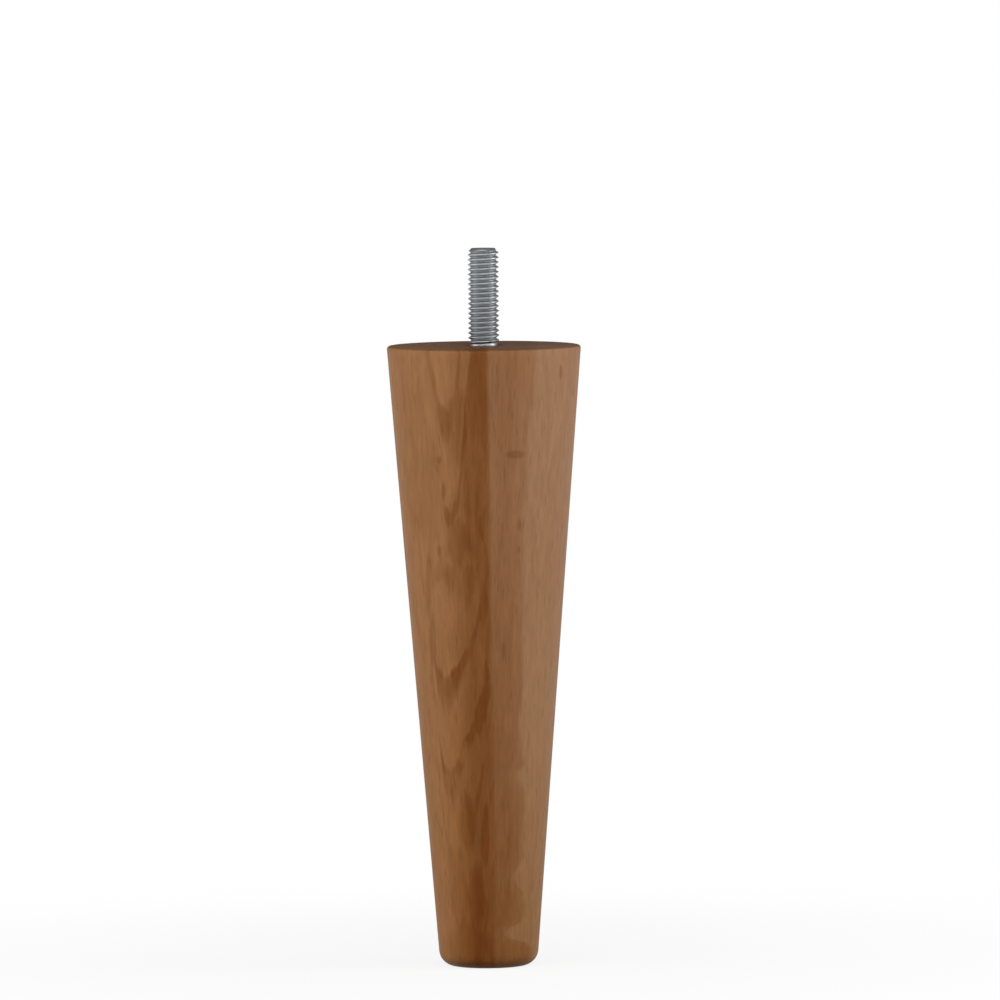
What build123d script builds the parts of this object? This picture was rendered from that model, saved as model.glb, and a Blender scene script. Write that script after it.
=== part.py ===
from build123d import *
import math
import os

# Wooden bed leg: a turned, straight-tapered leg with a steel hanger bolt in its top end.
# Millimetres, +Z up along the leg's own axis, origin at the middle of the foot on the floor.

# Turned leg.
leg_height = 160.0
top_diameter = 50.0
# The foot diameter is where the straight taper would meet the floor, before the edge is rounded.
foot_diameter = 25.0
foot_round = 4.2
top_edge_break = 0.8

# Mark of the lathe's tail centre, left in the middle of the foot.
centre_mark_diameter = 4.0
centre_mark_angle = 60.0

# M8 hanger bolt: a machine thread that stands out of the leg, a plain neck, and a wood screw below.
thread_diameter = 8.0
stud_length = 25.0
stud_chamfer = 1.0
neck_diameter = 7.1
neck_length = 7.0
screw_core_diameter = 5.9
screw_length = 28.0
screw_point_length = 7.0
screw_point_diameter = 1.0

# Stepped hole in the leg: it follows the bolt with this gap all round.
hole_gap = 0.05
hole_spare_depth = 2.0
hole_mouth_chamfer = 1.2
drill_point_angle = 118.0

# Sizes that follow from those above.
top_radius = top_diameter / 2
foot_radius = foot_diameter / 2
thread_radius = thread_diameter / 2
neck_radius = neck_diameter / 2
core_radius = screw_core_diameter / 2
point_radius = screw_point_diameter / 2
neck_hole_radius = neck_radius + hole_gap
core_hole_radius = core_radius + hole_gap
mouth_radius = neck_hole_radius + hole_mouth_chamfer
stud_top = leg_height + stud_length
neck_bottom = leg_height - neck_length
screw_tip = neck_bottom - screw_length
point_start = screw_tip + screw_point_length
hole_bottom = screw_tip - hole_spare_depth
drill_point_depth = core_hole_radius / math.tan(math.radians(drill_point_angle / 2))
centre_mark_radius = centre_mark_diameter / 2
centre_mark_depth = centre_mark_radius / math.tan(math.radians(centre_mark_angle / 2))


def turned(points):
    """A solid of revolution about the leg's axis, from radius and height pairs in order."""
    outline = make_face(Polyline(*[(r, 0, z) for r, z in points], close=True))
    return revolve(outline, Axis.Z)


# The leg: a straight cone between two centres, its foot edge rounded and its top edge just broken.
leg = turned([(0, 0), (foot_radius, 0), (top_radius, leg_height), (0, leg_height)])
rims = leg.edges().filter_by(GeomType.CIRCLE).sort_by(Axis.Z)
leg = fillet(rims[0], foot_round)
rims = leg.edges().filter_by(GeomType.CIRCLE).sort_by(Axis.Z)
leg = chamfer(rims[-1], top_edge_break)

# The hole for the bolt, drilled in steps from the top: mouth, neck, then the screw's core.
bolt_hole = turned([
    (0, leg_height),
    (mouth_radius, leg_height),
    (neck_hole_radius, leg_height - hole_mouth_chamfer),
    (neck_hole_radius, neck_bottom),
    (core_hole_radius, neck_bottom),
    (core_hole_radius, hole_bottom),
    (0, hole_bottom - drill_point_depth),
])
centre_mark = turned([(0, 0), (centre_mark_radius, 0), (0, centre_mark_depth)])
tapered_leg = leg - bolt_hole - centre_mark

# The bolt, at thread size above the leg and at core size in the wood. Its neck sits on the hole's step.
hanger_bolt = turned([
    (0, stud_top),
    (thread_radius - stud_chamfer, stud_top),
    (thread_radius, stud_top - stud_chamfer),
    (thread_radius, leg_height),
    (neck_radius, leg_height),
    (neck_radius, neck_bottom),
    (core_radius, neck_bottom),
    (core_radius, point_start),
    (point_radius, screw_tip),
    (0, screw_tip),
])

os.makedirs("parts", exist_ok=True)
export_step(tapered_leg, "parts/tapered_leg.step")
export_step(hanger_bolt, "parts/hanger_bolt.step")
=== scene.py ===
import math

import bmesh
import bpy
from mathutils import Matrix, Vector


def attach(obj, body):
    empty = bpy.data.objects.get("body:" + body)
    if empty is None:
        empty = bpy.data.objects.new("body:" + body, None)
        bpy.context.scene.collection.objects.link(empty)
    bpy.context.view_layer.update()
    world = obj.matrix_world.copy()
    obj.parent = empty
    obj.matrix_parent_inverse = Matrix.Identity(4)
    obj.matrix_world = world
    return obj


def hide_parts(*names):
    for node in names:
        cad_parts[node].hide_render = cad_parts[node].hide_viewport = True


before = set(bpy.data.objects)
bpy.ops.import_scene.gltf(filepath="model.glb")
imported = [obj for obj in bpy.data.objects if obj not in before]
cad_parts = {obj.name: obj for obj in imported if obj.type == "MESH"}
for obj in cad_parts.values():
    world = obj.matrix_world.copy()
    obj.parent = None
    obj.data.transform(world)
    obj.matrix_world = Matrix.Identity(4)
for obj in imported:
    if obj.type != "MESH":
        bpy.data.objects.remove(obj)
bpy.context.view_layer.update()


# Turned leg. One straight-tapered spindle of stained hardwood, turned between centres from a blank
# that was glued up from two boards, then sanded and lacquered satin. Its foot edge is rounded over,
# its top edge is just broken, and a stepped hole in the top takes the bolt.

MM = 0.001
leg_height = 160.0
leg_top_radius = 25.0
leg_foot_radius = 12.5
leg_foot_round = 4.2
leg_top_break = 0.8
centre_mark_radius = 2.0
centre_mark_depth = 3.46
hole_mouth_radius = 4.8
hole_neck_radius = 3.6
hole_neck_depth = 7.0
hole_core_radius = 3.0
hole_depth = 37.0
hole_point_depth = 1.8
leg_sides = 192
leg_sharp_edge = math.radians(32)


def turned_mesh(name, profile, sides):
    """A lathe-turned mesh from radius and height pairs in millimetres, a radius of 0 being a centre."""
    mesh = bmesh.new()
    rows = []
    for radius, height in profile:
        if radius == 0:
            rows.append([mesh.verts.new((0, 0, height * MM))])
        else:
            turn = [2 * math.pi * k / sides for k in range(sides)]
            rows.append([
                mesh.verts.new((radius * MM * math.cos(a), radius * MM * math.sin(a), height * MM))
                for a in turn
            ])
    for low, high in zip(rows, rows[1:]):
        for k in range(sides):
            n = (k + 1) % sides
            ring = [low[k % len(low)], low[n % len(low)], high[n % len(high)], high[k % len(high)]]
            mesh.faces.new(list(dict.fromkeys(ring)))
    bmesh.ops.recalc_face_normals(mesh, faces=mesh.faces)
    for face in mesh.faces:
        face.smooth = True
    data = bpy.data.meshes.new(name)
    mesh.to_mesh(data)
    mesh.free()
    piece = bpy.data.objects.new(name, data)
    bpy.context.scene.collection.objects.link(piece)
    return piece


# The rounded foot edge is an arc that is tangent to the floor and to the tapered side.
side_slope = (leg_top_radius - leg_foot_radius) / leg_height
side_angle = math.atan(side_slope)
arc_radius = leg_foot_radius + leg_foot_round * (side_slope - 1 / math.cos(side_angle))
arc_end = math.pi / 2 - side_angle
arc_steps = 12
foot_arc = [
    (
        arc_radius + leg_foot_round * math.sin(arc_end * k / arc_steps),
        leg_foot_round * (1 - math.cos(arc_end * k / arc_steps)),
    )
    for k in range(arc_steps + 1)
]
side_rows = 90
side_start = foot_arc[-1][1]
side_end = leg_height - leg_top_break
side = [
    (leg_foot_radius + side_slope * z, z)
    for z in (side_start + (side_end - side_start) * k / side_rows for k in range(1, side_rows + 1))
]
break_steps = 4
top_break = [
    (
        side[-1][0] - leg_top_break * (1 - math.cos(math.pi / 2 * k / break_steps)),
        side_end + leg_top_break * math.sin(math.pi / 2 * k / break_steps),
    )
    for k in range(1, break_steps + 1)
]
top_inner = top_break[-1][0]
top_steps = 5
top_face = [
    (top_inner + (hole_mouth_radius - top_inner) * k / top_steps, leg_height)
    for k in range(1, top_steps + 1)
]
hole = [
    (hole_neck_radius, leg_height - hole_mouth_radius + hole_neck_radius),
    (hole_neck_radius, leg_height - hole_neck_depth),
    (hole_core_radius, leg_height - hole_neck_depth),
    (hole_core_radius, leg_height - hole_depth),
    (0, leg_height - hole_depth - hole_point_depth),
]
foot_face = [(0, centre_mark_depth), (centre_mark_radius, 0), (0.5 * (centre_mark_radius + arc_radius), 0)]
leg = turned_mesh("tapered_leg_turned", foot_face + foot_arc + side + top_break + top_face + hole, leg_sides)
leg.data.set_sharp_from_angle(angle=leg_sharp_edge)
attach(leg, "root")
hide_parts("tapered_leg")


def srgb(code):
    """A colour code such as #8a5f3c as a linear colour with full alpha."""
    shares = [int(code[k : k + 2], 16) / 255 for k in (1, 3, 5)]
    return (*[s / 12.92 if s <= 0.04045 else ((s + 0.055) / 1.055) ** 2.4 for s in shares], 1.0)


def add_node(tree, kind, links=None, **settings):
    """Adds a node with its settings; links gives its sockets a value or another node's output."""
    node = tree.nodes.new(kind)
    for key, value in settings.items():
        setattr(node, key, value)
    for key, value in (links or {}).items():
        if isinstance(value, bpy.types.NodeSocket):
            tree.links.new(value, node.inputs[key])
        else:
            node.inputs[key].default_value = value
    return node


# Stained and lacquered hardwood: growth rings cut at a slant by the taper, so the front left shows
# stacked U shapes and the right board, cut along the rays, only fine straight grain. The stain sinks
# deepest into the late wood and the end grain, and the dull satin lacquer gives a faint sheen.
wood = bpy.data.materials.new("stained_lacquered_hardwood")
wood.use_nodes = True
tree = wood.node_tree
tree.nodes.clear()
coords = add_node(tree, "ShaderNodeTexCoord").outputs
place = add_node(
    tree, "ShaderNodeVectorMath", {0: coords["Object"], "Scale": 1 / MM}, operation="SCALE"
).outputs[0]
place_x, place_y, place_z = add_node(tree, "ShaderNodeSeparateXYZ", {0: place}).outputs

# Slow wander of the grain, about 25 mm across it and four times that along it, with finer steps in it.
wander = add_node(
    tree, "ShaderNodeVectorMath", {0: place, 1: (1 / 25, 1 / 25, 1 / 100)}, operation="MULTIPLY"
).outputs[0]
wander = add_node(
    tree, "ShaderNodeTexNoise", {"Vector": wander, "Scale": 1.0, "Detail": 5.0, "Roughness": 0.55}
).outputs["Color"]
wander = add_node(
    tree,
    "ShaderNodeVectorMath",
    {0: wander, 1: (1.6, 1.6, 0.0), 2: (-0.8, -0.8, 0.0)},
    operation="MULTIPLY_ADD",
).outputs[0]
grown = add_node(tree, "ShaderNodeVectorMath", {0: place, 1: wander}, operation="ADD").outputs[0]
grown_x, _, grown_z = add_node(tree, "ShaderNodeSeparateXYZ", {0: grown}).outputs

# Growth rings of the two boards. The left board was sawn close to the pith, which leans a little against
# the leg's axis, and its rings are drawn in along a fold left of the middle, which gives U shapes low on
# the leg and V shapes near its top. The right board's pith lies outside the leg, to its right. Each pith
# has its place at the floor in mm, and its lean for each mm of height.
piths = [((3.2, 3.9, 0.0), (-0.0093, 0.0046, 0.0)), ((45.0, 11.0, 0.0), (0.02, 0.03, 0.0))]
ring_distances = []
for pith_start, pith_lean in piths:
    pith = add_node(
        tree, "ShaderNodeVectorMath", {0: grown_z, 1: pith_lean, 2: pith_start}, operation="MULTIPLY_ADD"
    ).outputs[0]
    from_pith = add_node(tree, "ShaderNodeVectorMath", {0: grown, 1: pith}, operation="SUBTRACT").outputs[0]
    from_pith = add_node(
        tree, "ShaderNodeVectorMath", {0: from_pith, 1: (1.0, 1.0, 0.0)}, operation="MULTIPLY"
    ).outputs[0]
    ring_distances.append(
        add_node(tree, "ShaderNodeVectorMath", {0: from_pith}, operation="LENGTH").outputs["Value"]
    )
# How far the rings are drawn in, in mm, by the place across the leg: -1 is its left edge, 0 its middle. The
# shape changes up the leg, between the two heights given with each.
foot_fold = [
    (-1.0, 2.5), (-0.85, 2.4), (-0.755, 1.9), (-0.73, 1.3), (-0.705, 0.7), (-0.68, 0.4),
    (-0.63, 0.19), (-0.56, 0.1), (-0.46, 0.24), (-0.39, 0.45), (-0.3, 0.64), (-0.21, 0.82),
    (-0.155, 1.0), (-0.1, 1.22), (-0.05, 1.55), (0.0, 1.9), (0.1, 2.4), (1.0, 2.6),
]
middle_fold = [
    (-1.0, 2.5), (-0.85, 2.4), (-0.76, 2.0), (-0.735, 1.45), (-0.71, 0.88), (-0.685, 0.6),
    (-0.63, 0.44), (-0.56, 0.38), (-0.46, 0.46), (-0.39, 0.55), (-0.3, 0.68), (-0.2, 0.82),
    (-0.13, 1.0), (-0.065, 1.22), (-0.01, 1.55), (0.04, 1.9), (0.13, 2.4), (1.0, 2.6),
]
top_fold = [
    (-1.0, 2.8), (-0.8, 2.4), (-0.65, 1.8), (-0.56, 1.05), (-0.53, 0.75), (-0.5, 0.4),
    (-0.43, 0.0), (-0.36, 0.12), (-0.32, 0.25), (-0.29, 0.6), (-0.25, 1.0), (-0.23, 1.35),
    (-0.21, 1.75), (-0.18, 2.1), (-0.15, 2.4), (-0.1, 2.9), (0.0, 3.2), (1.0, 3.3),
]
fold_reach = 4.0
leg_radius = add_node(
    tree, "ShaderNodeMath", {0: place_z, 1: side_slope, 2: leg_foot_radius}, operation="MULTIPLY_ADD"
).outputs[0]
across = add_node(tree, "ShaderNodeMath", {0: grown_x, 1: leg_radius}, operation="DIVIDE").outputs[0]
curve_place = add_node(
    tree, "ShaderNodeMath", {0: across, 1: 0.5, 2: 0.5}, operation="MULTIPLY_ADD"
).outputs[0]
folds = [(foot_fold, -2.0, -1.0), (middle_fold, 52.0, 66.0), (top_fold, 100.0, 118.0)]
fold = 0.0
for fold_points, fold_start, fold_end in folds:
    curve = add_node(tree, "ShaderNodeFloatCurve", {"Value": curve_place})
    fold_line = curve.mapping.curves[0]
    fold_line.points[0].location = (0.0, fold_points[0][1] / fold_reach)
    fold_line.points[1].location = (1.0, fold_points[-1][1] / fold_reach)
    for share, depth in fold_points[1:-1]:
        fold_line.points.new(0.5 + 0.5 * share, depth / fold_reach)
    curve.mapping.update()
    above = add_node(
        tree,
        "ShaderNodeMapRange",
        {"Value": place_z, "From Min": fold_start, "From Max": fold_end},
        interpolation_type="SMOOTHSTEP",
    ).outputs[0]
    fold = add_node(
        tree, "ShaderNodeMix", {"Factor": above, "A": fold, "B": curve.outputs[0]}
    ).outputs["Result"]
fold = add_node(tree, "ShaderNodeMath", {0: fold, 1: fold_reach}, operation="MULTIPLY").outputs[0]
ragged = add_node(
    tree, "ShaderNodeVectorMath", {0: place, 1: (1 / 1.5, 1 / 1.5, 1 / 11)}, operation="MULTIPLY"
).outputs[0]
ragged = add_node(
    tree, "ShaderNodeTexNoise", {"Vector": ragged, "Scale": 1.0, "Detail": 2.0, "Roughness": 0.6}
).outputs["Fac"]
fold = add_node(tree, "ShaderNodeMath", {0: ragged, 1: 0.4, 2: fold}, operation="MULTIPLY_ADD").outputs[0]
ring_distances[0] = add_node(
    tree, "ShaderNodeMath", {0: ring_distances[0], 1: fold}, operation="SUBTRACT"
).outputs[0]

# Good and lean years gave wider and narrower rings: each has its outer end in mm, counted from where its
# board's first ring starts, and how dark its late wood is. Each year ends in that dark line and the next
# starts light. The first rings are given by how far from the pith they start.
rings = [
    (1.9, 0.5), (4.0, 0.7), (6.2, 0.5), (7.9, 0.8), (10.1, 0.6), (12.4, 0.7),
    (14.0, 0.5), (16.3, 0.7), (18.3, 0.8), (19.9, 0.7), (21.67, 0.85), (23.28, 1.0),
    (24.95, 0.95), (27.15, 0.42), (28.58, 0.75), (30.65, 0.65), (32.6, 0.7), (34.7, 0.6),
    (36.9, 0.8), (38.6, 0.5), (41.0, 0.7), (43.3, 0.8), (45.2, 0.5), (47.8, 0.7),
    (49.9, 0.6), (52.0, 0.8), (54.3, 0.5), (56.6, 0.7), (58.2, 0.6),
]
first_rings = [-1.91, 15.0]
ring_reach = 60.0
late_width = 1.1
ring_count = len(rings) + 1
late_woods = []
for ring_distance, first_ring in zip(ring_distances, first_rings):
    from_pith = add_node(
        tree,
        "ShaderNodeMath",
        {0: ring_distance, 1: 1 / ring_reach, 2: -first_ring / ring_reach},
        operation="MULTIPLY_ADD",
    ).outputs[0]
    growth = add_node(tree, "ShaderNodeFloatCurve", {"Value": from_pith})
    growth_line = growth.mapping.curves[0]
    strength = add_node(tree, "ShaderNodeFloatCurve", {"Value": from_pith})
    strength_line = strength.mapping.curves[0]
    for ring, (end, darkness) in enumerate(rings):
        growth_line.points.new(end / ring_reach, (ring + 1) / ring_count)
        strength_line.points.new((end - late_width) / ring_reach, darkness)
        strength_line.points.new(end / ring_reach, darkness)
    for point in [*growth_line.points, *strength_line.points]:
        point.handle_type = "VECTOR"
    growth.mapping.update()
    strength.mapping.update()
    year = add_node(
        tree, "ShaderNodeMath", {0: growth.outputs[0], 1: ring_count}, operation="MULTIPLY"
    ).outputs[0]
    year = add_node(tree, "ShaderNodeMath", {0: year}, operation="FRACT").outputs[0]
    summer = add_node(
        tree,
        "ShaderNodeMapRange",
        {"Value": year, "From Min": 0.3, "From Max": 0.7, "To Max": 0.25},
        interpolation_type="SMOOTHSTEP",
    ).outputs[0]
    autumn = add_node(
        tree,
        "ShaderNodeMapRange",
        {"Value": year, "From Min": 0.48, "From Max": 0.76, "To Max": 0.75},
        interpolation_type="SMOOTHSTEP",
    ).outputs[0]
    ring_edge = add_node(
        tree,
        "ShaderNodeMapRange",
        {"Value": year, "From Min": 1.0, "From Max": 0.86},
        interpolation_type="SMOOTHSTEP",
    ).outputs[0]
    late_wood = add_node(tree, "ShaderNodeMath", {0: summer, 1: autumn}, operation="ADD").outputs[0]
    late_wood = add_node(
        tree, "ShaderNodeMath", {0: late_wood, 1: ring_edge}, operation="MULTIPLY"
    ).outputs[0]
    late_wood = add_node(
        tree, "ShaderNodeMath", {0: late_wood, 1: strength.outputs[0]}, operation="MULTIPLY"
    ).outputs[0]
    late_woods.append(late_wood)

# Uneven stain along the grain: soft streaks about 2.5 mm across and 90 mm long.
streaks = add_node(
    tree, "ShaderNodeVectorMath", {0: grown, 1: (1 / 2.5, 1 / 2.5, 1 / 90)}, operation="MULTIPLY"
).outputs[0]
streaks = add_node(
    tree, "ShaderNodeTexNoise", {"Vector": streaks, "Scale": 1.0, "Detail": 2.0, "Roughness": 0.55}
).outputs["Fac"]

# Left board: its rings fade towards the far left and come back faintly on the leg's side, and a band of
# darker heartwood runs beside the joint. Where the stain took unevenly, a patch of wood is darker or its
# rings are fainter: x and z of its middle, half its width and height in mm, and how much darker or fainter.
ring_contrast = add_node(
    tree,
    "ShaderNodeMapRange",
    {"Value": across, "From Min": -0.86, "From Max": -0.52, "To Min": 0.1, "To Max": 1.0},
    interpolation_type="SMOOTHSTEP",
).outputs[0]
towards_back = add_node(tree, "ShaderNodeMath", {0: place_y, 1: leg_radius}, operation="DIVIDE").outputs[0]
side_rings = add_node(
    tree,
    "ShaderNodeMapRange",
    {"Value": towards_back, "From Min": -0.4, "From Max": 0.0, "To Max": 0.4},
    interpolation_type="SMOOTHSTEP",
).outputs[0]
ring_contrast = add_node(
    tree, "ShaderNodeMath", {0: ring_contrast, 1: side_rings}, operation="MAXIMUM"
).outputs[0]
heart_band = add_node(
    tree,
    "ShaderNodeMapRange",
    {"Value": across, "From Min": -0.55, "From Max": -0.16, "To Min": 0.0, "To Max": 0.62},
    interpolation_type="SMOOTHSTEP",
).outputs[0]
stain_patches = [
    (-16.0, 133.0, 8.0, 26.0, 0.22, 0.0),
    (-2.5, 137.0, 6.5, 30.0, 0.08, 0.0),
    (-1.6, 150.0, 3.0, 18.0, 0.2, 0.0),
    (-7.0, 141.0, 2.4, 11.0, 0.5, 0.0),
    (-16.5, 140.0, 4.5, 26.0, 0.0, 0.75),
    (0.1, 112.0, 3.2, 22.0, 0.15, 0.0),
    (-7.5, 111.0, 3.2, 7.0, 0.35, 0.0),
    (-15.5, 117.0, 5.0, 18.0, 0.0, 0.75),
    (-11.5, 124.0, 1.6, 7.0, 0.0, 0.6),
    (-8.8, 126.0, 1.8, 8.0, 0.15, 0.0),
    (-11.6, 96.0, 2.6, 5.0, 0.0, 0.8),
    (-14.8, 99.0, 0.8, 8.5, 0.35, 0.0),
    (-13.9, 85.0, 0.8, 8.5, 0.35, 0.0),
    (-8.0, 82.0, 5.0, 9.0, 0.12, 0.0),
    (-5.2, 100.0, 2.6, 6.0, 0.22, 0.0),
    (-0.6, 94.0, 1.2, 6.0, 0.2, 0.0),
    (1.0, 86.0, 1.8, 7.0, 0.0, 0.6),
    (0.7, 84.0, 1.1, 8.0, 0.2, 0.0),
    (-1.4, 76.0, 1.0, 5.0, 0.0, 0.7),
    (0.4, 73.5, 0.9, 4.5, 0.33, 0.0),
    (-0.7, 69.0, 1.0, 4.5, 0.35, 0.0),
    (-2.2, 64.8, 1.1, 4.5, 0.33, 0.0),
    (-0.2, 58.0, 1.1, 5.0, 0.0, 0.7),
    (-14.8, 76.0, 1.1, 8.0, 0.0, 0.9),
    (-10.4, 72.5, 2.0, 4.5, 0.0, 0.3),
    (-6.6, 57.0, 1.4, 3.5, 0.0, 0.5),
    (-13.0, 62.0, 2.3, 7.0, 0.0, 0.8),
    (-6.6, 51.5, 4.2, 7.0, 0.0, 0.4),
    (-8.5, 46.0, 5.0, 6.0, 0.0, 0.5),
    (-5.2, 38.0, 2.2, 8.0, 0.33, 0.0),
    (-0.5, 35.0, 1.3, 8.0, 0.35, 0.0),
    (-9.5, 28.0, 5.0, 14.0, 0.0, 0.75),
    (-2.9, 18.5, 2.4, 8.5, 0.33, 0.0),
    (-7.2, 18.5, 2.4, 8.0, 0.3, 0.0),
    (-9.5, 9.0, 4.5, 9.0, 0.0, 0.8),
    (-5.4, 5.8, 5.4, 7.5, 0.36, 0.0),
    (1.2, 6.0, 0.7, 7.0, 0.26, 0.0),
]
patch_depth = 12.0
for patch_x, patch_z, half_width, half_height, darker, fainter in stain_patches:
    patch_y = -math.sqrt((leg_foot_radius + side_slope * patch_z) ** 2 - patch_x**2)
    patch = add_node(
        tree, "ShaderNodeVectorMath", {0: grown, 1: (patch_x, patch_y, patch_z)}, operation="SUBTRACT"
    ).outputs[0]
    patch = add_node(
        tree,
        "ShaderNodeVectorMath",
        {0: patch, 1: (1 / half_width, 1 / patch_depth, 1 / half_height)},
        operation="MULTIPLY",
    ).outputs[0]
    patch = add_node(tree, "ShaderNodeVectorMath", {0: patch}, operation="LENGTH").outputs["Value"]
    patch = add_node(
        tree, "ShaderNodeMath", {0: ragged, 1: 0.8, 2: patch}, operation="MULTIPLY_ADD"
    ).outputs[0]
    patch = add_node(
        tree,
        "ShaderNodeMapRange",
        {"Value": patch, "From Min": 1.6, "From Max": 1.05, "To Min": 0.0, "To Max": darker or fainter},
        interpolation_type="SMOOTHSTEP",
    ).outputs[0]
    if darker:
        heart_band = add_node(tree, "ShaderNodeMath", {0: heart_band, 1: patch}, operation="ADD").outputs[0]
    else:
        patch = add_node(tree, "ShaderNodeMath", {0: 1.0, 1: patch}, operation="SUBTRACT").outputs[0]
        ring_contrast = add_node(
            tree, "ShaderNodeMath", {0: ring_contrast, 1: patch}, operation="MULTIPLY"
        ).outputs[0]
# The band is weaker in the youngest rings, and the rings' contrast wanders by an eighth, in patches of about
# 7 by 28 mm.
younger = add_node(
    tree,
    "ShaderNodeMapRange",
    {"Value": ring_distances[0], "From Min": 26.8, "From Max": 26.5, "To Min": 0.6, "To Max": 1.0},
    interpolation_type="SMOOTHSTEP",
).outputs[0]
heart_band = add_node(tree, "ShaderNodeMath", {0: heart_band, 1: younger}, operation="MULTIPLY").outputs[0]
patches = add_node(
    tree, "ShaderNodeVectorMath", {0: place, 1: (1 / 7, 1 / 7, 1 / 28)}, operation="MULTIPLY"
).outputs[0]
patches = add_node(
    tree, "ShaderNodeTexNoise", {"Vector": patches, "Scale": 1.0, "Detail": 3.0, "Roughness": 0.55}
).outputs["Fac"]
patches = add_node(
    tree,
    "ShaderNodeMapRange",
    {"Value": patches, "From Min": 0.3, "From Max": 0.7, "To Min": 0.88, "To Max": 1.12},
).outputs[0]
ring_contrast = add_node(
    tree, "ShaderNodeMath", {0: ring_contrast, 1: patches}, operation="MULTIPLY"
).outputs[0]
left_dark = add_node(
    tree, "ShaderNodeMath", {0: late_woods[0], 1: ring_contrast}, operation="MULTIPLY"
).outputs[0]
left_dark = add_node(tree, "ShaderNodeMath", {0: left_dark, 1: heart_band}, operation="MAXIMUM").outputs[0]
left_dark = add_node(
    tree, "ShaderNodeMath", {0: streaks, 1: 0.5, 2: left_dark}, operation="MULTIPLY_ADD"
).outputs[0]
left_dark = add_node(
    tree, "ShaderNodeMath", {0: left_dark, 1: 0.25}, operation="SUBTRACT", use_clamp=True
).outputs[0]
left_colour = add_node(
    tree, "ShaderNodeMix", {"Factor": left_dark, "A": srgb("#916641"), "B": srgb("#6e401c")}, data_type="RGBA"
).outputs["Result"]

# Right board: the front of it is cut along the rays, so its rings are straight and faint there. A painted
# highlight, a pale strip, runs beside the joint, clearest high up.
ring_contrast = add_node(
    tree,
    "ShaderNodeMapRange",
    {"Value": place_y, "From Min": -14.0, "From Max": 8.0, "To Min": 0.04, "To Max": 0.5},
    interpolation_type="SMOOTHSTEP",
).outputs[0]
right_dark = add_node(
    tree, "ShaderNodeMath", {0: late_woods[1], 1: ring_contrast, 2: -0.2}, operation="MULTIPLY_ADD"
).outputs[0]
right_dark = add_node(
    tree, "ShaderNodeMath", {0: streaks, 1: 0.8, 2: right_dark}, operation="MULTIPLY_ADD"
).outputs[0]
# Painted highlight: the wood is made lighter in a strip 2 to 4 mm right of the axis.
painted_highlight_strip = add_node(
    tree,
    "ShaderNodeMapRange",
    {"Value": place_x, "From Min": 4.0, "From Max": 2.0, "To Min": 0.0, "To Max": -0.22},
    interpolation_type="SMOOTHSTEP",
).outputs[0]
high_up = add_node(
    tree,
    "ShaderNodeMapRange",
    {"Value": place_z, "From Min": 90.0, "From Max": 115.0, "To Min": 0.4},
    interpolation_type="SMOOTHSTEP",
).outputs[0]
right_dark = add_node(
    tree,
    "ShaderNodeMath",
    {0: painted_highlight_strip, 1: high_up, 2: right_dark},
    operation="MULTIPLY_ADD",
    use_clamp=True,
).outputs[0]
right_colour = add_node(
    tree,
    "ShaderNodeMix",
    {"Factor": right_dark, "A": srgb("#875f40"), "B": srgb("#704424")},
    data_type="RGBA",
).outputs["Result"]

# Glue joint: a plane just right of the axis, where the two boards meet. The stain bleeds across it, about a
# millimetre either way and further towards the foot, so their colours run into each other.
past_joint = add_node(
    tree, "ShaderNodeMath", {0: place_z, 1: 0.0045, 2: -1.7}, operation="MULTIPLY_ADD"
).outputs[0]
past_joint = add_node(tree, "ShaderNodeMath", {0: place_x, 1: past_joint}, operation="ADD").outputs[0]
bleed = add_node(
    tree,
    "ShaderNodeMapRange",
    {"Value": place_z, "From Min": 95.0, "From Max": 60.0, "To Min": 0.7, "To Max": 1.0},
    interpolation_type="SMOOTHSTEP",
).outputs[0]
right_side = add_node(tree, "ShaderNodeMath", {0: past_joint, 1: bleed}, operation="DIVIDE").outputs[0]
right_side = add_node(
    tree,
    "ShaderNodeMapRange",
    {"Value": right_side, "From Min": -1.0, "From Max": 1.0},
    interpolation_type="SMOOTHSTEP",
).outputs[0]
wood_colour = add_node(
    tree, "ShaderNodeMix", {"Factor": right_side, "A": left_colour, "B": right_colour}, data_type="RGBA"
).outputs["Result"]

# Painted sheen: a paler, greyer strip on the right board's outer edge stands in for the lacquer's reflection
# of the right soft box, strongest near the foot and thinner towards the back. Its border is wavy low down, in
# slanting tongues about 5 mm across. Each pair is a height and how far right of the axis the border is, in
# mm.
tongues = add_node(
    tree,
    "ShaderNodeMapping",
    {"Vector": place, "Rotation": (0.0, math.radians(25), 0.0), "Scale": (1 / 5, 1 / 5, 1 / 8)},
).outputs[0]
tongues = add_node(
    tree, "ShaderNodeTexNoise", {"Vector": tongues, "Scale": 1.0, "Detail": 1.0, "Roughness": 0.4}
).outputs["Fac"]
sheen_border = [
    (4.5, 11.0), (7.0, 8.8), (9.6, 4.6), (11.8, 8.0), (15.0, 9.0), (19.5, 9.0),
    (21.5, 7.4), (24.0, 6.9), (26.5, 8.4), (30.0, 9.5), (35.0, 9.1), (40.0, 9.0),
    (45.0, 9.3), (48.0, 8.0), (51.0, 7.6), (53.0, 9.3), (56.0, 8.8), (60.0, 8.6),
    (70.0, 9.2), (80.0, 9.2), (90.0, 9.2), (100.0, 9.3), (125.0, 10.3), (140.0, 11.4),
    (150.0, 12.6),
]
border = add_node(tree, "ShaderNodeMath", {0: place_z, 1: 1 / leg_height}, operation="MULTIPLY").outputs[0]
border = add_node(tree, "ShaderNodeFloatCurve", {"Value": border})
border_line = border.mapping.curves[0]
border_line.points[0].location = (0.0, 12.0 / leg_top_radius)
border_line.points[1].location = (1.0, 13.5 / leg_top_radius)
for height, side_place in sheen_border:
    border_line.points.new(height / leg_height, side_place / leg_top_radius)
border.mapping.update()
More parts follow.
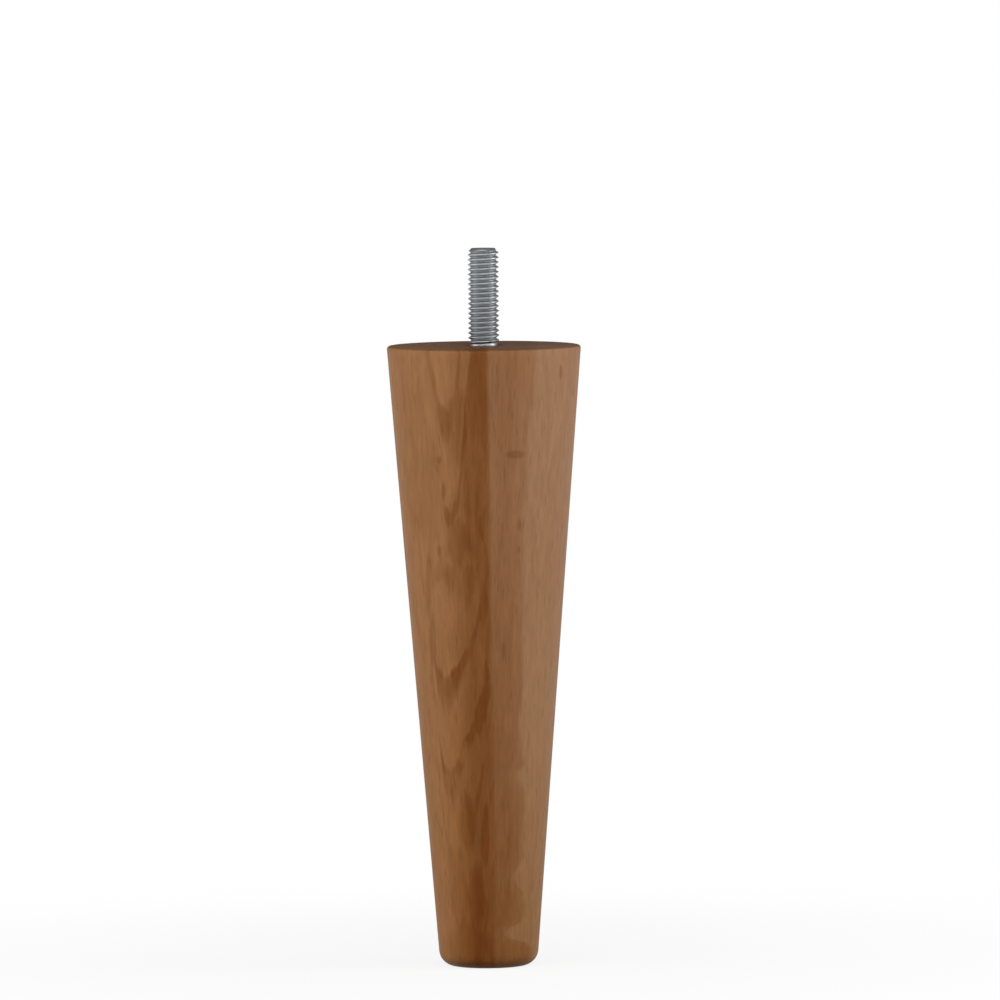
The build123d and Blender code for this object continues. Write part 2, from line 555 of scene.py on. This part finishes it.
border = add_node(
    tree, "ShaderNodeMath", {0: border.outputs[0], 1: -leg_top_radius}, operation="MULTIPLY"
).outputs[0]
waves = add_node(
    tree,
    "ShaderNodeMapRange",
    {"Value": place_z, "From Min": 85.0, "From Max": 50.0, "To Max": 3.0},
    interpolation_type="SMOOTHSTEP",
).outputs[0]
past_border = add_node(tree, "ShaderNodeMath", {0: tongues, 1: 0.5}, operation="SUBTRACT").outputs[0]
past_border = add_node(tree, "ShaderNodeMath", {0: past_border, 1: waves}, operation="MULTIPLY").outputs[0]
past_border = add_node(tree, "ShaderNodeMath", {0: past_border, 1: border}, operation="ADD").outputs[0]
past_border = add_node(tree, "ShaderNodeMath", {0: past_border, 1: place_x}, operation="ADD").outputs[0]
painted_sheen = add_node(
    tree,
    "ShaderNodeMapRange",
    {"Value": past_border, "From Min": -5.0, "From Max": 0.5, "To Max": 0.35},
    interpolation_type="SMOOTHSTEP",
).outputs[0]
past_border = add_node(
    tree,
    "ShaderNodeMapRange",
    {"Value": past_border, "From Min": -0.7, "From Max": 0.9, "To Max": 0.65},
    interpolation_type="SMOOTHSTEP",
).outputs[0]
painted_sheen = add_node(tree, "ShaderNodeMath", {0: painted_sheen, 1: past_border}, operation="ADD").outputs[0]
low_on_leg = add_node(
    tree,
    "ShaderNodeMapRange",
    {"Value": place_z, "From Min": 115.0, "From Max": 55.0, "To Min": 0.6},
    interpolation_type="SMOOTHSTEP",
).outputs[0]
painted_sheen = add_node(tree, "ShaderNodeMath", {0: painted_sheen, 1: low_on_leg}, operation="MULTIPLY").outputs[0]
thinner = add_node(
    tree,
    "ShaderNodeMapRange",
    {"Value": towards_back, "From Min": -0.4, "From Max": 0.1, "To Min": 1.0, "To Max": 0.45},
    interpolation_type="SMOOTHSTEP",
).outputs[0]
painted_sheen = add_node(tree, "ShaderNodeMath", {0: painted_sheen, 1: thinner}, operation="MULTIPLY").outputs[0]
# The paler, greyer colour of the painted sheen.
wood_colour = add_node(
    tree, "ShaderNodeMix", {"Factor": painted_sheen, "A": wood_colour, "B": srgb("#916f54")}, data_type="RGBA"
).outputs["Result"]

# Mineral flecks, each a small dark lens in the wood: x and z of its middle, half its width and height in
# mm, and how dark it is.
marks = [
    (7.9, 133.0, 2.8, 1.2, 0.38),
    (8.8, 114.9, 0.5, 1.6, 0.3),
    (8.5, 108.5, 0.5, 1.1, 0.3),
    (4.4, 82.6, 0.5, 2.4, 0.3),
    (19.7, 153.7, 0.5, 2.2, 0.4),
    (-11.6, 131.7, 0.8, 1.3, 0.3),
    (-10.6, 123.7, 0.6, 2.8, 0.35),
    (-11.8, 108.2, 0.7, 1.7, 0.3),
]
mark_depth = 4.0
flecks = 0.0
for mark_x, mark_z, half_width, half_height, darkness in marks:
    mark_y = -math.sqrt((leg_foot_radius + side_slope * mark_z) ** 2 - mark_x**2)
    mark = add_node(
        tree, "ShaderNodeVectorMath", {0: place, 1: (mark_x, mark_y, mark_z)}, operation="SUBTRACT"
    ).outputs[0]
    mark = add_node(
        tree,
        "ShaderNodeVectorMath",
        {0: mark, 1: (1 / half_width, 1 / mark_depth, 1 / half_height)},
        operation="MULTIPLY",
    ).outputs[0]
    mark = add_node(tree, "ShaderNodeVectorMath", {0: mark}, operation="LENGTH").outputs["Value"]
    mark = add_node(
        tree,
        "ShaderNodeMapRange",
        {"Value": mark, "From Min": 1.2, "From Max": 0.5, "To Min": 0.0, "To Max": darkness},
        interpolation_type="SMOOTHSTEP",
    ).outputs[0]
    flecks = add_node(tree, "ShaderNodeMath", {0: mark, 1: flecks}, operation="MAXIMUM").outputs[0]
wood_colour = add_node(
    tree, "ShaderNodeMix", {"Factor": flecks, "A": wood_colour, "B": srgb("#5c3312")}, data_type="RGBA"
).outputs["Result"]

# Darker and warmer towards the foot, least of all on the left.
foot_darkening = add_node(
    tree, "ShaderNodeMapRange", {"Value": place_z, "From Min": 125.0, "From Max": 8.0}
).outputs[0]
darkening_side = add_node(
    tree,
    "ShaderNodeMapRange",
    {"Value": across, "From Min": -0.8, "From Max": -0.45, "To Min": 0.45, "To Max": 1.0},
    interpolation_type="SMOOTHSTEP",
).outputs[0]
foot_darkening = add_node(tree, "ShaderNodeMath", {0: foot_darkening, 1: darkening_side}, operation="MULTIPLY").outputs[0]
wood_colour = add_node(
    tree,
    "ShaderNodeMix",
    {"Factor": foot_darkening, "A": wood_colour, "B": srgb("#ebdcbc")},
    data_type="RGBA",
    blend_type="MULTIPLY",
).outputs["Result"]

# Fibres, drawn 0.4 mm across and 20 mm long, and pores, drawn as dark dashes of about 0.4 by 4 mm. Both are
# about twice as coarse as real ones, so that they show.
fibres = add_node(
    tree, "ShaderNodeVectorMath", {0: grown, 1: (1 / 0.4, 1 / 0.4, 1 / 20)}, operation="MULTIPLY"
).outputs[0]
fibres = add_node(
    tree, "ShaderNodeTexNoise", {"Vector": fibres, "Scale": 1.0, "Detail": 2.0, "Roughness": 0.6}
).outputs["Fac"]
pores = add_node(
    tree, "ShaderNodeVectorMath", {0: grown, 1: (1 / 1.1, 1 / 1.1, 1 / 9)}, operation="MULTIPLY"
).outputs[0]
pores = add_node(tree, "ShaderNodeTexVoronoi", {"Vector": pores, "Scale": 1.0}).outputs["Distance"]
pores = add_node(
    tree,
    "ShaderNodeMapRange",
    {"Value": pores, "From Min": 0.26, "From Max": 0.12},
    interpolation_type="SMOOTHSTEP",
).outputs[0]
pore_tint = add_node(tree, "ShaderNodeMath", {0: pores, 1: 0.2}, operation="MULTIPLY").outputs[0]
wood_colour = add_node(
    tree, "ShaderNodeMix", {"Factor": pore_tint, "A": wood_colour, "B": srgb("#5a3110")}, data_type="RGBA"
).outputs["Result"]

# Faces turned up or down are darker, on the foot's round and on both ends: end grain drinks the stain, and on
# the foot's round this is also painted shade where it turns down to the floor. The glue line is darker too.
# The fibres and a mottle of about 1.3 by 8 mm break up the tone everywhere.
facing_z = add_node(tree, "ShaderNodeSeparateXYZ", {0: coords["Normal"]}).outputs["Z"]
facing_z = add_node(tree, "ShaderNodeMath", {0: facing_z}, operation="ABSOLUTE").outputs[0]
end_grain_and_shade = add_node(
    tree,
    "ShaderNodeMapRange",
    {"Value": facing_z, "From Min": 0.3, "From Max": 0.95, "To Min": 1.0, "To Max": 0.55},
    interpolation_type="SMOOTHSTEP",
).outputs[0]
glue_line = add_node(tree, "ShaderNodeMath", {0: past_joint}, operation="ABSOLUTE").outputs[0]
glue_line = add_node(
    tree,
    "ShaderNodeMapRange",
    {"Value": glue_line, "From Min": 0.05, "From Max": 0.2, "To Min": 0.95, "To Max": 1.0},
).outputs[0]
mottle = add_node(
    tree, "ShaderNodeVectorMath", {0: place, 1: (1 / 1.3, 1 / 1.3, 1 / 8)}, operation="MULTIPLY"
).outputs[0]
mottle = add_node(
    tree, "ShaderNodeTexNoise", {"Vector": mottle, "Scale": 1.0, "Detail": 3.0, "Roughness": 0.6}
).outputs["Fac"]
tone = add_node(tree, "ShaderNodeMath", {0: fibres, 1: 0.26, 2: 0.645}, operation="MULTIPLY_ADD").outputs[0]
tone = add_node(tree, "ShaderNodeMath", {0: mottle, 1: 0.45, 2: tone}, operation="MULTIPLY_ADD").outputs[0]
tone = add_node(tree, "ShaderNodeMath", {0: tone, 1: end_grain_and_shade}, operation="MULTIPLY").outputs[0]
tone = add_node(tree, "ShaderNodeMath", {0: tone, 1: glue_line}, operation="MULTIPLY").outputs[0]
wood_colour = add_node(
    tree, "ShaderNodeVectorMath", {0: wood_colour, "Scale": tone}, operation="SCALE"
).outputs[0]

# The lacquer is a dull satin, duller still over pores and fibres. Its film sinks a few hundredths of a mm
# there and waves with the tongues.
sheen_break = add_node(
    tree, "ShaderNodeMath", {0: pores, 1: 0.12, 2: 0.4}, operation="MULTIPLY_ADD"
).outputs[0]
sheen_break = add_node(
    tree, "ShaderNodeMath", {0: fibres, 1: 0.14, 2: sheen_break}, operation="MULTIPLY_ADD"
).outputs[0]
film = add_node(tree, "ShaderNodeMath", {0: pores, 1: -0.5, 2: fibres}, operation="MULTIPLY_ADD").outputs[0]
film = add_node(tree, "ShaderNodeMath", {0: tongues, 1: 1.2, 2: film}, operation="MULTIPLY_ADD").outputs[0]
film = add_node(
    tree, "ShaderNodeBump", {"Height": film, "Strength": 0.5, "Distance": 0.05 * MM}
).outputs["Normal"]
shader = add_node(
    tree,
    "ShaderNodeBsdfPrincipled",
    {
        "Base Color": wood_colour,
        "Roughness": sheen_break,
        "Normal": film,
        "IOR": 1.5,
        "Specular IOR Level": 0.05,
    },
)
add_node(tree, "ShaderNodeOutputMaterial", {"Surface": shader.outputs[0]})
leg.data.materials.append(wood)


# Hanger bolt. Zinc-plated steel with rolled threads: a machine thread stands out of the leg's top,
# a plain neck sits in the hole's mouth, and a coarse wood screw with a sharp point holds in the wood.

stud_top = 185.0
stud_radius = 4.0
stud_chamfer = 1.0
stud_pitch = 1.25
neck_radius = 3.55
neck_bottom = leg_height - hole_neck_depth
screw_pitch = 3.2
core_radius = 2.95
point_start = 132.0
screw_tip = 125.0
point_radius = 0.5
bolt_sides = 64
thread_sharp_edge = math.radians(60)
weld_distance = 0.002 * MM

# One pitch of each thread, as the share of the pitch and the radius there. The machine thread has the 60
# degree flanks and rounded root of a rolled M8; the wood screw has thin, tall ridges on a plain core.
stud_thread = [
    (0.0, 3.97), (0.0625, 4.0), (0.125, 3.97), (0.243, 3.74), (0.361, 3.51), (0.479, 3.28),
    (0.521, 3.245), (0.5625, 3.233), (0.604, 3.245), (0.646, 3.28), (0.764, 3.51), (0.882, 3.74),
]
screw_thread = [
    (0.0, 4.0), (0.06, 3.75), (0.17, 3.3), (0.28, 2.98), (0.4, 2.95),
    (0.5, 2.95), (0.6, 2.95), (0.72, 2.98), (0.83, 3.3), (0.94, 3.75),
]

# How far the stud's thread and the screw's ridge run out next to the neck, how far above the tip the ridge
# starts, and how far above the point it has its full height.
stud_run_out = 1.5
screw_run_out = 2.0
ridge_start = 0.5
ridge_full = 3.0


def ease(value, start, end):
    """0 before start and 1 after end, with a smooth rise between them."""
    share = min(max((value - start) / (end - start), 0.0), 1.0)
    return share * share * (3 - 2 * share)


def stud_radius_at(z, ridge):
    """The stud's thread runs out into the neck and is cut back by the chamfer at the stud's end."""
    run_out = neck_radius + (ridge - neck_radius) * ease(z, leg_height, leg_height + stud_run_out)
    return min(run_out, stud_radius - stud_chamfer + stud_top - z)


def screw_radius_at(z, ridge):
    """The screw's core narrows to a point, and its ridge shrinks there and below the neck."""
    core = point_radius + (core_radius - point_radius) * min((z - screw_tip) / (point_start - screw_tip), 1.0)
    tall = ease(z, screw_tip + ridge_start, point_start + ridge_full)
    tall *= 1 - ease(z, neck_bottom - screw_run_out, neck_bottom)
    return core + (ridge - core_radius) * tall


# Right-hand helices: each column of vertices starts a little higher than the one before it, and what
# would pass an end of the thread is held at that end.
bolt_mesh = bmesh.new()
for low, high, pitch, thread, radius_at in (
    (screw_tip, neck_bottom, screw_pitch, screw_thread, screw_radius_at),
    (leg_height, stud_top, stud_pitch, stud_thread, stud_radius_at),
):
    rows = len(thread)
    row_count = rows * (math.ceil((high - low) / pitch) + 1) + 1
    columns = []
    for k in range(bolt_sides):
        a = 2 * math.pi * k / bolt_sides
        column = []
        for row in range(row_count):
            share, ridge = thread[row % rows]
            z = low + (row // rows - 1 + share + k / bolt_sides) * pitch
            z = min(max(z, low), high)
            radius = radius_at(z, ridge) * MM
            column.append(bolt_mesh.verts.new((radius * math.cos(a), radius * math.sin(a), z * MM)))
        columns.append(column)
    columns.append([columns[0][min(row + rows, row_count - 1)] for row in range(row_count)])
    for left, right in zip(columns, columns[1:]):
        for row in range(row_count - 1):
            ring = [left[row], right[row], right[row + 1], left[row + 1]]
            bolt_mesh.faces.new(list(dict.fromkeys(ring)))
plain_rows = [
    [(0, screw_tip), (point_radius, screw_tip)],
    [(core_radius, neck_bottom), (neck_radius, neck_bottom), (neck_radius, leg_height)],
    [(stud_radius - stud_chamfer, stud_top), (0, stud_top)],
]
for profile in plain_rows:
    plain = turned_mesh("plain", profile, bolt_sides)
    bolt_mesh.from_mesh(plain.data)
    bpy.data.objects.remove(plain)
bmesh.ops.remove_doubles(bolt_mesh, verts=bolt_mesh.verts, dist=weld_distance)
bmesh.ops.recalc_face_normals(bolt_mesh, faces=bolt_mesh.faces)
for face in bolt_mesh.faces:
    face.smooth = True
bolt_data = bpy.data.meshes.new("hanger_bolt_threaded")
bolt_mesh.to_mesh(bolt_data)
bolt_mesh.free()
bolt_data.set_sharp_from_angle(angle=thread_sharp_edge)
bolt = bpy.data.objects.new("hanger_bolt_threaded", bolt_data)
bpy.context.scene.collection.objects.link(bolt)
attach(bolt, "root")
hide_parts("hanger_bolt")

# Zinc plating over steel: a bright, slightly blue metal, painted darker and greyer in the thread's roots as
# painted shade, duller there, where the plating bath leaves it matt, and unevenly dull in spots of a few
# millimetres.
zinc = bpy.data.materials.new("zinc_plated_steel")
zinc.use_nodes = True
tree = zinc.node_tree
tree.nodes.clear()
coords = add_node(tree, "ShaderNodeTexCoord").outputs
from_axis = add_node(
    tree, "ShaderNodeVectorMath", {0: coords["Object"], 1: (1 / MM, 1 / MM, 0.0)}, operation="MULTIPLY"
).outputs[0]
from_axis = add_node(tree, "ShaderNodeVectorMath", {0: from_axis}, operation="LENGTH").outputs["Value"]
root = add_node(
    tree,
    "ShaderNodeMapRange",
    {"Value": from_axis, "From Min": 3.9, "From Max": 3.3},
    interpolation_type="SMOOTHSTEP",
).outputs[0]
spots = add_node(
    tree,
    "ShaderNodeTexNoise",
    {"Vector": coords["Object"], "Scale": 1 / (2.5 * MM), "Detail": 3.0, "Roughness": 0.6},
).outputs["Fac"]
# Painted shade: the thread's roots get the darker, greyer colour.
zinc_colour = add_node(
    tree, "ShaderNodeMix", {"Factor": root, "A": srgb("#bcc0c4"), "B": srgb("#8f9294")}, data_type="RGBA"
).outputs["Result"]
dull = add_node(tree, "ShaderNodeMath", {0: spots, 1: 0.3, 2: 0.18}, operation="MULTIPLY_ADD").outputs[0]
dull = add_node(tree, "ShaderNodeMath", {0: root, 1: 0.16, 2: dull}, operation="MULTIPLY_ADD").outputs[0]
pitted = add_node(
    tree, "ShaderNodeTexNoise", {"Vector": coords["Object"], "Scale": 1 / (0.4 * MM), "Detail": 2.0}
).outputs["Fac"]
pitted = add_node(
    tree, "ShaderNodeBump", {"Height": pitted, "Strength": 0.3, "Distance": 0.02 * MM}
).outputs["Normal"]
shader = add_node(
    tree,
    "ShaderNodeBsdfPrincipled",
    {"Base Color": zinc_colour, "Metallic": 1.0, "Roughness": dull, "Normal": pitted},
)
add_node(tree, "ShaderNodeOutputMaterial", {"Surface": shader.outputs[0]})
bolt_data.materials.append(zinc)


# Studio floor. A wide sheet of pale paper that carries the leg's shadow and is seen as white.

floor_data = bpy.data.meshes.new("floor")
floor_half = 30.0
floor_corners = [(x * floor_half, y * floor_half, 0) for x, y in ((-1, -1), (1, -1), (1, 1), (-1, 1))]
floor_data.from_pydata(floor_corners, [], [(0, 1, 2, 3)])
floor = bpy.data.objects.new("floor", floor_data)
bpy.context.scene.collection.objects.link(floor)

# Matt white paper: it takes the soft shadow near the leg and is evenly white further out.
paper = bpy.data.materials.new("matt_white_paper")
paper.use_nodes = True
tree = paper.node_tree
tree.nodes.clear()
ray = add_node(tree, "ShaderNodeLightPath").outputs
seen = add_node(
    tree, "ShaderNodeMath", {0: ray["Is Camera Ray"], 1: ray["Is Glossy Ray"]}, operation="MAXIMUM"
).outputs[0]
seen = add_node(
    tree, "ShaderNodeMath", {0: seen, 1: ray["Is Transmission Ray"]}, operation="MAXIMUM"
).outputs[0]
spot = add_node(tree, "ShaderNodeTexCoord").outputs["Object"]
reach = add_node(tree, "ShaderNodeVectorMath", {0: spot}, operation="LENGTH").outputs["Value"]
even = add_node(
    tree,
    "ShaderNodeMapRange",
    {"Value": reach, "From Min": 0.03, "From Max": 0.25, "To Min": 0.86, "To Max": 1.0},
    interpolation_type="SMOOTHSTEP",
).outputs[0]
share = add_node(tree, "ShaderNodeMath", {0: seen, 1: even}, operation="MULTIPLY").outputs[0]
matt = add_node(tree, "ShaderNodeBsdfDiffuse", {"Color": srgb("#d8d8d8")}).outputs[0]
bright = add_node(tree, "ShaderNodeEmission", {"Color": (1, 1, 1, 1), "Strength": 1.0}).outputs[0]
both = add_node(tree, "ShaderNodeMixShader", {0: share, 1: matt, 2: bright}).outputs[0]
add_node(tree, "ShaderNodeOutputMaterial", {"Surface": both})
floor_data.materials.append(paper)


# Studio light. Two soft boxes beside the leg, a wide scrim in front of it and above, and a dim room.

def soft_box(name, angle, distance, height, width, tall, power):
    """A soft box aimed at the leg's middle, its angle measured from the camera towards the right."""
    data = bpy.data.lights.new(name, "AREA")
    data.shape = "RECTANGLE"
    data.size = width
    data.size_y = tall
    data.energy = power
    lamp = bpy.data.objects.new(name, data)
    a = math.radians(angle)
    lamp.location = (distance * math.sin(a), -distance * math.cos(a), height)
    aim = Vector((0, 0, leg_height * MM / 2)) - lamp.location
    lamp.rotation_euler = aim.to_track_quat("-Z", "Y").to_euler()
    bpy.context.scene.collection.objects.link(lamp)


soft_box("left_soft_box", angle=-79, distance=0.8, height=0.22, width=0.6, tall=0.6, power=3.5)
soft_box("right_soft_box", angle=80, distance=0.45, height=0.24, width=0.3, tall=0.26, power=1.35)
soft_box("front_scrim", angle=-2, distance=0.5, height=0.6, width=1.2, tall=0.5, power=4.5)
world = bpy.data.worlds.new("studio_room")
world.use_nodes = True
world.node_tree.nodes["Background"].inputs["Color"].default_value = (1, 1, 1, 1)
world.node_tree.nodes["Background"].inputs["Strength"].default_value = 0.25
bpy.context.scene.world = world
bpy.context.scene.view_settings.view_transform = "Standard"


# Camera. A long lens three metres away that looks down on the leg by a few degrees.

view_height = 0.1201
view_side = 0.00384
view_distance = 3.0
view_rise = math.radians(3.5)
view_roll = math.radians(-0.47)
frame_width = 0.2573
camera_data = bpy.data.cameras.new("camera")
camera_data.sensor_width = 36.0
camera_data.lens = camera_data.sensor_width * view_distance / frame_width
camera_data.clip_end = 100.0
camera = bpy.data.objects.new("camera", camera_data)
target = Vector((view_side, 0, view_height))
camera.location = target + view_distance * Vector((0, -math.cos(view_rise), math.sin(view_rise)))
camera.rotation_euler = (target - camera.location).to_track_quat("-Z", "Y").to_euler()
camera.rotation_euler.rotate_axis("Z", view_roll)
bpy.context.scene.collection.objects.link(camera)
bpy.context.scene.camera = camera
